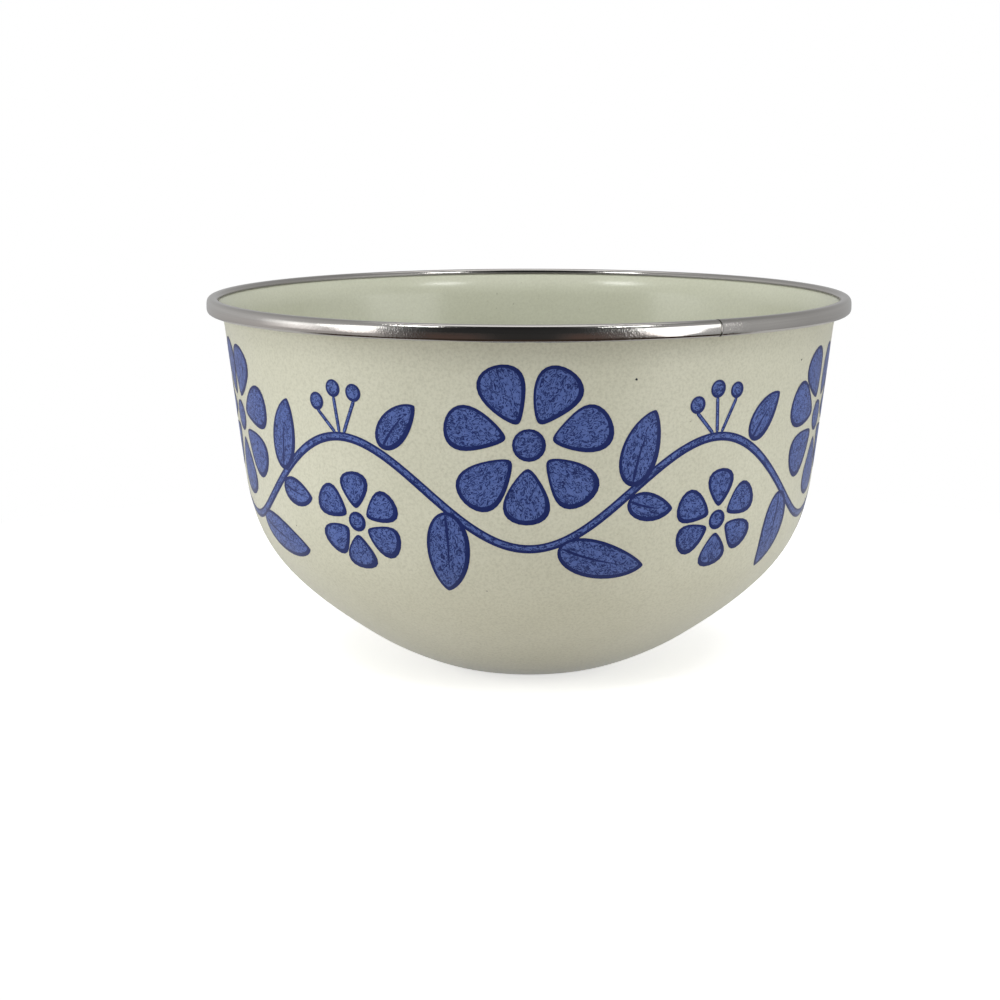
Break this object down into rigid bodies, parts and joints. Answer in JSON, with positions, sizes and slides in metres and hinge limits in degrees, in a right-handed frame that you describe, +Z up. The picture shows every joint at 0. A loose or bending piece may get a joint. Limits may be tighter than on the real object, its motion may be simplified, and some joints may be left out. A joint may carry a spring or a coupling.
{
  "type": "enamel mixing bowl",
  "caption": "Deep round mixing bowl in enamelled steel, with a steep wall, a rounded bottom and a rolled stainless steel strip that covers the lip.",
  "frame": {"origin": "middle of the base, on the plane that the bowl stands on", "axes": "+Z up along the bowl's axis, -Y towards the viewer of the picture, +X to the viewer's right; the ends of the trim meet 32.4 degrees to the right of -Y"},
  "size_m": [0.235, 0.235, 0.1362],
  "materials": {
    "sheet_steel": "pickled low-carbon sheet, hidden under the enamel",
    "ground_enamel": "dark fired ground coat, seen only in specks and chips",
    "outside_enamel": "satin-gloss cream enamel with a fine fleck and a blue print",
    "inside_enamel": "satin-gloss cream enamel",
    "stainless": "bright rolled stainless strip"
  },
  "bodies": {
    "root": {"steel_shell": "sheet_steel", "ground_coat": "ground_enamel", "enamel_outside": "outside_enamel", "enamel_inside": "inside_enamel", "rim_trim": "stainless"}
  },
  "joints": []
}
